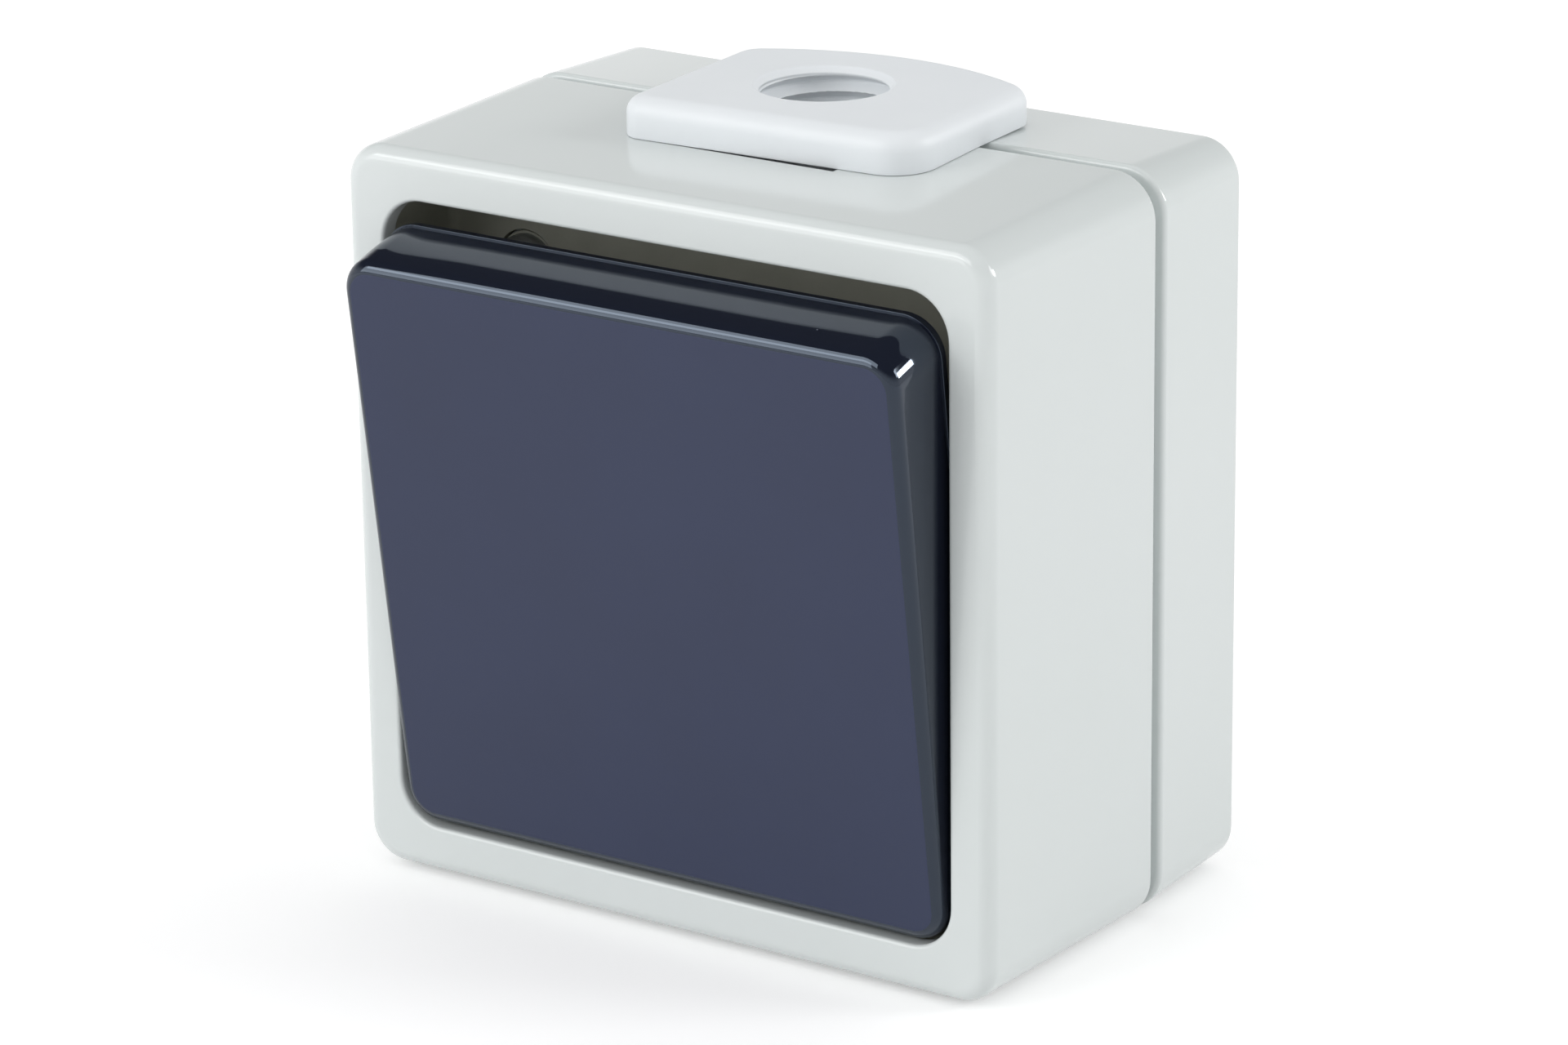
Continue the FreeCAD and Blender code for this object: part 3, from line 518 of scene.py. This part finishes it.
cover_stack = np.concatenate([
    along(HOUSING, [(1.1, cover_rear), (0.0, cover_rear), (0.55, cover_front), (3.0, cover_front)],
          [0, 0.2, 1.4, 0], 10),
    along(OPENING, [(-1.2, cover_front), (0.0, cover_front), (0.0, pocket_front), (-1.4, pocket_front),
                    (-1.4, floor_front), (2.0, floor_front)], [0, 0.35, 0.15, 0, 0, 0], 6),
    along(WINDOW, [(-1.0, floor_front), (0.0, floor_front), (0.0, floor_rear), (-1.0, floor_rear)]),
    along(COVER_INSIDE, [(1.0, floor_rear), (0.0, floor_rear), (0.0, rebate_end)]),
    along(REBATE, [(0.0, rebate_end), (0.0, cover_rear)]),
])
cover = skin("front_cover_shell", cover_stack)
screw_places = [(-21.0, 21.0), (21.0, -21.0)]
passage = (-9.0, entry_y - 8.2, 30.4), (9.0, entry_y + 8.2, 34.0)
cuts = [box_of((passage[0][0], floor_rear, passage[0][2]), passage[1])]
cuts += [bar(disc(1.8), floor_front - 1, floor_rear + 1, at) for at in screw_places]
shade(combine(cover, cuts, "DIFFERENCE"))
place(cover, "housing", "housing_grey", HOUSING_PLASTIC, "front_cover")

# %% [markdown]
# ## The rear box
# The box is a shallow tray. Its outside leans in towards the wall, its front carries a thin tongue that
# slips into the cover, and bosses, ribs and slot pads stand on its floor. The tray is one skin with a point
# in the middle of its back and one in the middle of its floor. The bosses are bars that are added to it,
# and then the screw holes, the wall slots, the cable passage and the drain mark are cut.

# %% Build the box
box_stack = np.concatenate([
    along(HOUSING, [(3.0, 0.0), (0.45, 0.0), (0.0, box_front), (1.2, box_front)], [0, 0.5, 0.45, 0]),
    along(TONGUE, [(0.0, box_front), (0.0, tongue_end), (0.5, tongue_end)], [0, 0.15, 0], 4),
    along(BOX_INSIDE, [(0.0, tongue_end), (0.0, -2.0), (3.0, -2.0)], [0, 0.4, 0], 4),
])
box = skin("rear_box_shell", box_stack, "pebble")
mechanism_places = [(0.0, 17.0), (0.0, -17.0)]
boss = disc(3.45)
hole = disc(1.55)
screw_depth = 8.0
slot_places = [(-24.0, 0.0), (24.0, 0.0)]
in_back = -1.0
mechanism_seat = -11.6
pad_front = -3.0
half_rib = 0.6
rib_reach_x, rib_reach_z = 31.7, 31.9
adds = [bar(boss, mechanism_seat, in_back, at) for at in mechanism_places]
adds += [bar(boss, floor_rear, in_back, at) for at in screw_places]
for x, z in screw_places:
    wall_x, wall_z = math.copysign(rib_reach_x, x), math.copysign(rib_reach_z, z)
    adds.append(box_of((min(x, wall_x), box_front, z - half_rib), (max(x, wall_x), in_back, z + half_rib)))
    adds.append(box_of((x - half_rib, box_front, min(z, wall_z)), (x + half_rib, in_back, max(z, wall_z))))
adds += [bar(dict(half_x=5.8, half_z=3.9, radius=3.9), pad_front, in_back, at) for at in slot_places]
earth_left, earth_right, earth_low, earth_high, cheek = -26.7, -17.3, -23.5, -16.5, 1.2
adds.append(box_of((earth_left, -6.0, earth_low), (earth_right, in_back, earth_high)))
adds += [box_of((x, -8.5, earth_low), (x + cheek, -5.9, earth_high)) for x in (earth_left, earth_right - cheek)]
combine(box, adds, "UNION")
cuts = [bar(hole, mechanism_seat - 1, mechanism_seat + screw_depth, at) for at in mechanism_places]
cuts += [bar(hole, floor_rear - 1, floor_rear + 9, at) for at in screw_places]
cuts += [bar(dict(half_x=4.0, half_z=2.1, radius=2.1), pad_front - 2, 1.0, at) for at in slot_places]
cuts.append(box_of((passage[0][0], -18.0, passage[0][2]), passage[1]))
drain = bar(disc(2.5), 32.35, 34.0, (0.0, box_front / 2))
cuts.append(move_points(drain, lambda points: points[:, [0, 2, 1]] * (1, 1, -1)))
shade(combine(box, cuts, "DIFFERENCE"))
place(box, "housing", "housing_grey", HOUSING_PLASTIC, "rear_box")

# %% [markdown]
# ## The rubber lining of the well
# Behind the rocker lies a rubber tray that keeps the rain out of the mechanism: a floor, a wall up to the
# lip of the cover, and a raised rim round the window. It is again one profile carried round and closed like
# a tyre, with softer corners than the hard plastic has.

# %% Build the lining
lining_stack = np.concatenate([
    along(OPENING, [(-1.4, floor_front), (-1.4, pocket_front), (-0.9, pocket_front)], [0, 0.15, 0], 4),
    along(OPENING, [(-0.9, pocket_front), (-0.4, pocket_front), (-0.4, seal_front), (2.0, seal_front)],
          [0, 0.3, 0.8, 0], 6),
    along(WINDOW, [(-3.0, seal_front), (-1.2, seal_front), (-1.2, seal_front - 1.2), (-0.6, seal_front - 1.2)],
          [0, 0.4, 0.35, 0], 5),
    along(WINDOW, [(-0.6, seal_front - 1.2), (0.0, seal_front - 1.2), (0.0, floor_front)], [0, 0.3, 0], 5),
])
lining = skin("well_lining", lining_stack)
cuts = [bar(disc(3.1), seal_front - 1, floor_front + 1, at) for at in screw_places]
shade(combine(lining, cuts, "DIFFERENCE"), 40)
place(lining, "housing", "seal_rubber", SEAL_RUBBER, "well_seal")

# %% [markdown]
# ## The rocker cap
# The cap is a shallow lid: a flat face, an edge rounded by one millimetre, and a skirt that flares towards
# its rear rim at the top and the bottom, so that it can swing through its arc without opening a wide gap.
# At rest its top stands out by 7.6 degrees. The rings are worked out with the cap level and are then
# turned about the pivot as whole arrays. The face takes the satin finish and the rest the polished one.

# %% Build the cap
face_y = pivot_y - 12.5
skirt_depth = 7.5
wall = 1.8


def cap_rings(inset, depth):
    """Rings of the cap at these depths behind its face.

    With s as the share of the skirt's depth, the half width grows as 27.85 + 0.1 s and the corner radius as
    3.0 + 0.45 s. The half height bulges a little, as 27.45 - (1 - s)^1.7, so that the upper and the lower
    flank mirror the rim of the cover in one band and the dark ceiling in another.
    """
    inset, depth = np.asarray(inset, float), np.asarray(depth, float)
    share = np.clip(depth / skirt_depth, 0.0, 1.0)
    return rings(27.85 + 0.1 * share, 27.45 - (1.0 - share) ** 1.7, 3.0 + 0.45 * share, inset, face_y + depth)


def tipped(points, angle=rocker_tilt):
    """Points turned about the pivot: y = pivot + (y - pivot) cos a - z sin a, z = (y - pivot) sin a + z cos a."""
    y, z = points[..., 1] - pivot_y, points[..., 2]
    turned = pivot_y + y * math.cos(angle) - z * math.sin(angle), y * math.sin(angle) + z * math.cos(angle)
    return np.stack([points[..., 0], *turned], -1)


edge = soft_profile([(12.0, 0.0), (0.0, 0.0), (0.0, 1.2)], [0, 1.0, 0], 12)
flank = np.column_stack([np.zeros(16), np.linspace(1.4, 6.5, 16)])
edge = np.concatenate([edge, flank])
rim = soft_profile([(0.02, 6.6), (-0.15, 6.6), (0.0, 7.5), (0.5, 7.5)], [0, 0.05, 0.15, 0], 4)
inner = soft_profile([(1.0, 7.5), (wall, 7.5), (wall, wall), (12.0, wall)], [0, 0.2, 0.6, 0], 5)
rim_outline = dict(half_x=27.95, half_z=27.45, radius=3.45)
cap_stack = tipped(np.concatenate([
    cap_rings(edge[:, 0], edge[:, 1]),
    rings(**rim_outline, inset=rim[:, 0], depth=face_y + rim[:, 1]),
    cap_rings(inner[:, 0], inner[:, 1]),
]))
cap = skin("rocker_cap_shell", cap_stack, "pebble")
under = face_y + wall
satin_depth = 0.006
clips = []
for side in (-1, 1):
    clips.append(box_of((-5.0, under - 0.9, min(side * 9.1, side * 10.7)),
                        (5.0, under + 2.9, max(side * 9.1, side * 10.7))))
    clips.append(box_of((-5.0, under + 2.1, min(side * 8.3, side * 10.6)),
                        (5.0, under + 2.9, max(side * 8.3, side * 10.6))))
    clips.append(box_of((min(side * 11.1, side * 12.7), under - 0.9, -5.0),
                        (max(side * 11.1, side * 12.7), under + 2.0, 5.0)))
shade(combine(cap, [move_points(clip, tipped) for clip in clips], "UNION"))
middle = np.empty(len(cap.data.polygons) * 3)
cap.data.polygons.foreach_get("center", middle)
behind_face = tipped(middle.reshape(-1, 3) / MM, -rocker_tilt)[:, 1] - face_y
place(cap, "rocker", "rocker_slate", [ROCKER_FACE, ROCKER_SKIRT], "rocker_cap")
cap.data.polygons.foreach_set("material_index", (behind_face > satin_depth).astype(np.int32))

# %% [markdown]
# ## The cable entry plate
# The plate is a flat rectangle with rounded front corners and a bowed back, 3.35 mm thick, with a threaded
# hole. It reaches further to the right of the hole than to the left, and it sits a little askew. Its
# outline is a chain of arcs with straight runs between them. Each outline point knows its direction from
# the middle of the hole, so the hole's circle can use the same directions, and the rings match from the rim
# to the thread. The thread itself is a height field on the wall of the hole: the radius rises and falls
# with the height plus one pitch for each turn. Under its front, the plate's lower rim follows the slope of
# the cover's top, so that no gap opens there.

# %% Outline of the plate
def plate_outline(left, right, front, side_end, rise, left_corner, right_corner, back_corner, steps=14):
    """Points and outward directions round the plate, seen from above, in mm.

    Each corner is an arc: point = centre + radius times (cos a, sin a), and that pair is also its outward
    direction. The back is one long arc with radius (half^2 + rise^2) / (2 rise). Straight runs are filled
    at equal shares.
    """
    centre_x, half = (left + right) / 2, (right - left) / 2
    back_radius = (half ** 2 + rise ** 2) / (2 * rise)
    back_y = side_end + rise - back_radius
    small = back_corner
    small_y = back_y + math.sqrt((back_radius - small) ** 2 - (half - small) ** 2)
    lean = math.degrees(math.atan2(small_y - back_y, half - small))
    arcs = np.array([
        (right - small, small_y, small, 0.0, lean),
        (centre_x, back_y, back_radius, lean, 180.0 - lean),
        (left + small, small_y, small, 180.0 - lean, 180.0),
        (left + left_corner, front + left_corner, left_corner, 180.0, 270.0),
        (right - right_corner, front + right_corner, right_corner, 270.0, 360.0),
    ])
    share = np.linspace(0.0, 1.0, steps + 1)
    angle = np.radians(arcs[:, 3:4] + (arcs[:, 4:5] - arcs[:, 3:4]) * share)
    outward = np.stack([np.cos(angle), np.sin(angle)], -1)
    points = arcs[:, None, :2] + arcs[:, None, 2:3] * outward
    fill = np.linspace(0.0, 1.0, 17)[1:-1, None]
    run_points, run_outward = [], []
    for i in range(len(arcs)):
        run_points.append(points[i])
        run_outward.append(outward[i])
        start, end = points[i][-1], points[(i + 1) % len(arcs)][0]
        if np.linalg.norm(end - start) > 1.0:
            run_points.append(start + (end - start) * fill)
            run_outward.append(np.repeat(outward[i][-1:], len(fill), 0))
    points, outward = np.concatenate(run_points), np.concatenate(run_outward)
    keep = np.linalg.norm(points - np.roll(points, 1, 0), axis=1) > 0.001
    return points[keep], outward[keep]


plate_points, plate_outward = plate_outline(left=-13.2, right=15.8, front=-26.6, side_end=-6.6, rise=4.2,
                                            left_corner=2.0, right_corner=3.8, back_corner=3.0)
bearing = np.arctan2(plate_points[:, 1] - entry_y, plate_points[:, 0])
print("plate outline:", len(plate_points), "points")

# %% Build the plate
PITCH = 1.5
plate_top = 36.55
plate_bottom = 29.1
foot_top = 30.4
seat = HOUSING["half_z"]
soft_edge = 1.6
bore = 5.6
thread_depth = 0.75
COVER_DRAFT = 0.55 / 25.0
hairline = 0.01


def offset_ring(offset, height):
    """The outline drawn in by the offset along its own directions, at one height."""
    flat = plate_points - plate_outward * offset
    return np.column_stack([flat, np.full(len(flat), height)])


def hole_ring(radius, height):
    """A ring round the hole, whose points lie in the same directions as the outline's."""
    return np.column_stack([radius * np.cos(bearing), entry_y + radius * np.sin(bearing),
                            np.full(len(bearing), height)])


def square_ring(half_x, half_y, height):
    """A soft square round the hole: radius = (|cos b / half_x|^10 + |sin b / half_y|^10)^(-1/10)."""
    reach = (np.abs(np.cos(bearing) / half_x) ** 10 + np.abs(np.sin(bearing) / half_y) ** 10) ** -0.1
    return hole_ring(reach, height)


quarter = np.linspace(0.0, math.pi / 2, 11)
rim_rings = [offset_ring(soft_edge * (1.0 - math.cos(a)), plate_top - soft_edge * (1.0 - math.sin(a)))
             for a in quarter]
mouth = soft_profile([(8.2, plate_top), (bore + 0.5, plate_top), (bore, plate_top - 0.5), (bore, plate_top - 1.2)],
                     [0, 0.2, 0.1, 0], 4, 0.03)
top_rings = [offset_ring(soft_edge, plate_top)[None] * (1 - mix) + hole_ring(7.6, plate_top)[None] * mix
             for mix in (0.02, 0.4, 0.8, 1.0)]
mouth_rings = [hole_ring(radius, height) for radius, height in mouth[1:-1]]
heights = np.linspace(plate_top - 0.6, plate_bottom + 0.3, 145)
first_root = 35.24
phase = (heights[:, None] - first_root) / PITCH + (bearing[None] - math.pi / 2) / (2 * math.pi)
groove = np.clip(1.15 - 2.3 * np.abs(phase - np.round(phase)), 0.0, 1.0)
fade = np.clip(np.minimum(heights - heights[-1], heights[0] - heights) / 0.45, 0.0, 1.0)[:, None]
thread_rings = [hole_ring(bore + thread_depth * g, h) for g, h in zip(groove * fade, heights)]
foot_rings = [
    hole_ring(bore + 0.25, plate_bottom),
    square_ring(9.9, 9.1, plate_bottom), square_ring(10.1, 9.3, plate_bottom + 0.2),
    square_ring(10.1, 9.3, foot_top - 0.2), square_ring(9.9, 9.1, foot_top), square_ring(8.5, 7.7, foot_top),
    square_ring(8.5, 7.7, seat), offset_ring(0.25, seat), offset_ring(0.05, seat + 0.05),
    offset_ring(0.0, seat + 0.2), offset_ring(0.0, plate_top - soft_edge - 0.05),
]
plate_stack = np.concatenate([np.array(rim_rings), np.concatenate(top_rings), np.array(mouth_rings),
                              np.array(thread_rings), np.array(foot_rings)])
from_hole = plate_stack[..., :2] - (0.0, entry_y)
askew = np.array([(math.cos(entry_turn), math.sin(entry_turn)), (-math.sin(entry_turn), math.cos(entry_turn))])
plate_stack[..., :2] = from_hole @ askew + (0.0, entry_y)
lower_rim = slice(-4, -1)
cover_drop = COVER_DRAFT * (cover_rear - plate_stack[lower_rim, :, 1])
plate_stack[lower_rim, :, 2] -= np.clip(cover_drop - hairline, 0.0, None)
plate = skin("cable_plate", plate_stack)
shade(plate, 30)
place(plate, "housing", "entry_white", PLATE_PLASTIC, "cable_entry_plate")

# %% [markdown]
# ## The plunger's spring
# The open coil sits between the seat in the rocker's cradle and the back of the plunger. It is wound again
# here with three turns, tipped with the rocker at rest, and takes the place of the CAD spring.

# %% Wind the spring
WIRE = 0.6
COIL_RADIUS = 1.4
TURNS = 3
coil_start, coil_end = pivot_y - 1.0, pivot_y + 4.5
around_wire = np.linspace(0.0, 2 * math.pi, 16, endpoint=False)
wound = np.linspace(0.0, 2 * math.pi * TURNS, 145)[:, None]
centre_line = np.linspace(coil_start + WIRE / 2, coil_end - WIRE / 2, 145)[:, None]
from_axis = COIL_RADIUS + WIRE / 2 * np.cos(around_wire)
coil = np.stack([from_axis * np.cos(wound), centre_line + WIRE / 2 * np.sin(around_wire),
                 -from_axis * np.sin(wound)], -1)
spring = shade(skin("coil_spring", tipped(coil), "pebble"), 40)
spring.data.materials.append(METALS["spring_steel"])
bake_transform(spring)
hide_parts("plunger_spring")
print(spring.name, "has", len(spring.data.polygons), "faces")

# %% [markdown]
# ## Materials for the inner pieces
# The mechanism's CAD meshes are right as they are, so they stay, and only their materials change. Which
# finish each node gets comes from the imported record, where each node names its material slot.

# %% Dress the CAD nodes that stay
INNER = dict(METALS, gasket_rubber=GASKET_RUBBER, seal_rubber=SEAL_RUBBER, base_black=BASE_BLACK,
             actuator_white=WAXY_WHITE)
for part in frame["record"]["subparts"]:
    node_object = frame["nodes"][part["node"]]
    chosen = INNER.get(part["material_slot"])
    if chosen and not node_object.hide_render:
        for holder in node_object.material_slots:
            holder.material = chosen
        if not node_object.material_slots:
            node_object.data.materials.append(chosen)
        print(part["node"], "wears", chosen.name)

# %% [markdown]
# ## The floor and the room
# The switch stands on a white table. Seen directly, the table and the room are plain white, and matt
# surfaces are lit evenly from all sides. What glossy surfaces mirror is another matter: white boards stand
# round the table, and above them the ceiling is dark, which draws the dark bands on the polished skirt.
# The Light Path node tells these three kinds of rays apart.

# %% Set the floor and the world
floor_z = -33.25
ROOM_LEVEL = 0.78
span = np.array([(-1500.0, -1500.0, floor_z), (1500.0, -1500.0, floor_z),
                 (1500.0, 1500.0, floor_z), (-1500.0, 1500.0, floor_z)])
floor_mesh = bpy.data.meshes.new("table")
floor_mesh.from_pydata((span * MM).tolist(), [], [(0, 1, 2, 3)])
table = bpy.data.objects.new("table", floor_mesh)
bpy.context.scene.collection.objects.link(table)
paper, tree, shader, where = new_material("white card", Roughness=0.9, IOR=1.4)
fibres = add_node(tree, "TexNoise", {"Vector": where, "Scale": 1 / 0.0006, "Detail": 3.0})
tone = add_node(tree, "Mix", {"Factor": fibres.outputs["Fac"], 6: linear("EDEDED"), 7: linear("F1F1F1")},
                data_type="RGBA")
tree.links.new(tone.outputs[2], shader.inputs["Base Color"])
rays = add_node(tree, "LightPath").outputs
mirrored = add_node(tree, "Math", {0: rays["Is Glossy Ray"], 1: rays["Is Transmission Ray"]}, operation="MAXIMUM")
seen = add_node(tree, "Math", {0: rays["Is Camera Ray"], 1: mirrored.outputs[0]}, operation="MAXIMUM")
lift = add_node(tree, "Math", {0: seen.outputs[0], 1: 0.30}, operation="MULTIPLY")
glow = add_node(tree, "Emission", {"Color": (1.0, 1.0, 1.0, 1.0), "Strength": lift.outputs[0]})
both = add_node(tree, "AddShader", {0: shader.outputs["BSDF"], 1: glow.outputs["Emission"]})
tree.links.new(both.outputs["Shader"], tree.nodes["Material Output"].inputs["Surface"])
table.data.materials.append(paper)

world = bpy.data.worlds.new("studio")
bpy.context.scene.world = world
world.use_nodes = True
tree = world.node_tree
tree.nodes.clear()
direction = add_node(tree, "TexCoord").outputs["Generated"]
up = add_node(tree, "SeparateXYZ", {"Vector": direction}).outputs["Z"]
boards = add_node(tree, "MapRange", {"Value": up, "From Min": 0.05, "From Max": 0.5, "To Min": 1.0,
                                     "To Max": 0.04}, interpolation_type="SMOOTHSTEP")
rays = add_node(tree, "LightPath").outputs
mirrored = add_node(tree, "Math", {0: rays["Is Glossy Ray"], 1: rays["Is Transmission Ray"]}, operation="MAXIMUM")
shown = add_node(tree, "Mix", {"Factor": mirrored.outputs[0], 2: ROOM_LEVEL, 3: boards.outputs["Result"]},
                 data_type="FLOAT")
level = add_node(tree, "Mix", {"Factor": rays["Is Camera Ray"], 2: shown.outputs[0], 3: 1.0}, data_type="FLOAT")
room = add_node(tree, "Background", {"Color": (1.0, 1.0, 1.0, 1.0), "Strength": level.outputs[0]})
add_node(tree, "OutputWorld", {"Surface": room.outputs["Background"]})
print("floor at", floor_z, "mm")

# %% [markdown]
# ## Soft boxes
# Two lamps shape the light on matt surfaces: a broad one from the front and the left, and a smaller one from
# the right, which casts the plate's soft shadow on the top face. Two more are there for their mirror images
# alone, so diffuse rays don't see them: a wide strip above the front, a little to the left, that draws the
# pale band along the rocker's upper edge, and a small one behind the right shoulder that draws the streak on
# the rocker's corner. Brightness is power divided by pi and by the lamp's area.

# %% Hang the soft boxes
def soft_box(name, direction, distance, width, height, brightness, upright=(0.0, 0.0, 1.0), mirrored_only=False):
    """A rectangular lamp in this direction from the object, turned to face it.

    Its power is brightness times pi times width times height, where a brightness of 1 is white. Its height
    runs along upright, as far as that lies across the direction: up = upright - direction (direction . upright).
    """
    towards = Vector(direction).normalized()
    up = Vector(upright)
    up = (up - towards * towards.dot(up)).normalized()
    lamp = bpy.data.lights.new(name, "AREA")
    lamp.shape = "RECTANGLE"
    lamp.size = width
    lamp.size_y = height
    lamp.energy = brightness * math.pi * width * height
    holder = bpy.data.objects.new(name, lamp)
    turned = Matrix((up.cross(towards), up, towards)).transposed().to_4x4()
    holder.matrix_world = Matrix.Translation(towards * distance + Vector((0.0, -0.02, 0.0))) @ turned
    holder.visible_diffuse = not mirrored_only
    bpy.context.scene.collection.objects.link(holder)
    return holder


soft_box("front", (-0.52, -0.82, 0.34), 0.9, 0.6, 0.5, 2.85)
soft_box("side", (0.80, 0.40, 0.45), 0.9, 0.26, 0.26, 7.9)
soft_box("strip", (-0.288, -0.745, 0.602), 0.73, 0.63, 0.32, 3.7, upright=(0.27, 0.52, 0.81), mirrored_only=True)
soft_box("streak", (0.737, 0.594, 0.322), 0.814, 0.16, 0.17, 30.0, mirrored_only=True)

# %% [markdown]
# ## The camera
# The photograph was taken from the right and a little above, from half a metre away with a long lens. The
# place, the lens and the slight roll were worked out from the edges of the housing, so the render can be
# laid over the photograph.

# %% Set the camera
azimuth, elevation, roll = np.radians([34.393, 18.736, -0.748])
distance = 516.98 * MM
target = np.array([2.396, -25.0, 0.481]) * MM
backward = np.array([math.cos(elevation) * math.sin(azimuth), -math.cos(elevation) * math.cos(azimuth),
                     math.sin(elevation)])
eye = target + backward * distance
forward = -backward
right = np.cross(forward, [0.0, 0.0, 1.0])
right = right / np.linalg.norm(right)
above = np.cross(right, forward)
right, above = (right * math.cos(roll) + above * math.sin(roll), above * math.cos(roll) - right * math.sin(roll))
lens = bpy.data.cameras.new("camera")
lens.sensor_width = 36.0
lens.lens = 138.894
lens.clip_start = 0.01
camera = bpy.data.objects.new("camera", lens)
pose = np.eye(4)
pose[:3] = np.column_stack([right, above, -forward, eye])
camera.matrix_world = Matrix(pose.tolist())
bpy.context.scene.collection.objects.link(camera)
bpy.context.scene.camera = camera
bpy.context.scene.view_settings.view_transform = "Standard"
print("camera", round(distance / MM), "mm from the object")

# %% [markdown]
# ## The last update
# The view layer is brought up to date once more. The dressed model must not be larger than the
# CAD model.

# %% Update the view layer
bpy.context.view_layer.update()
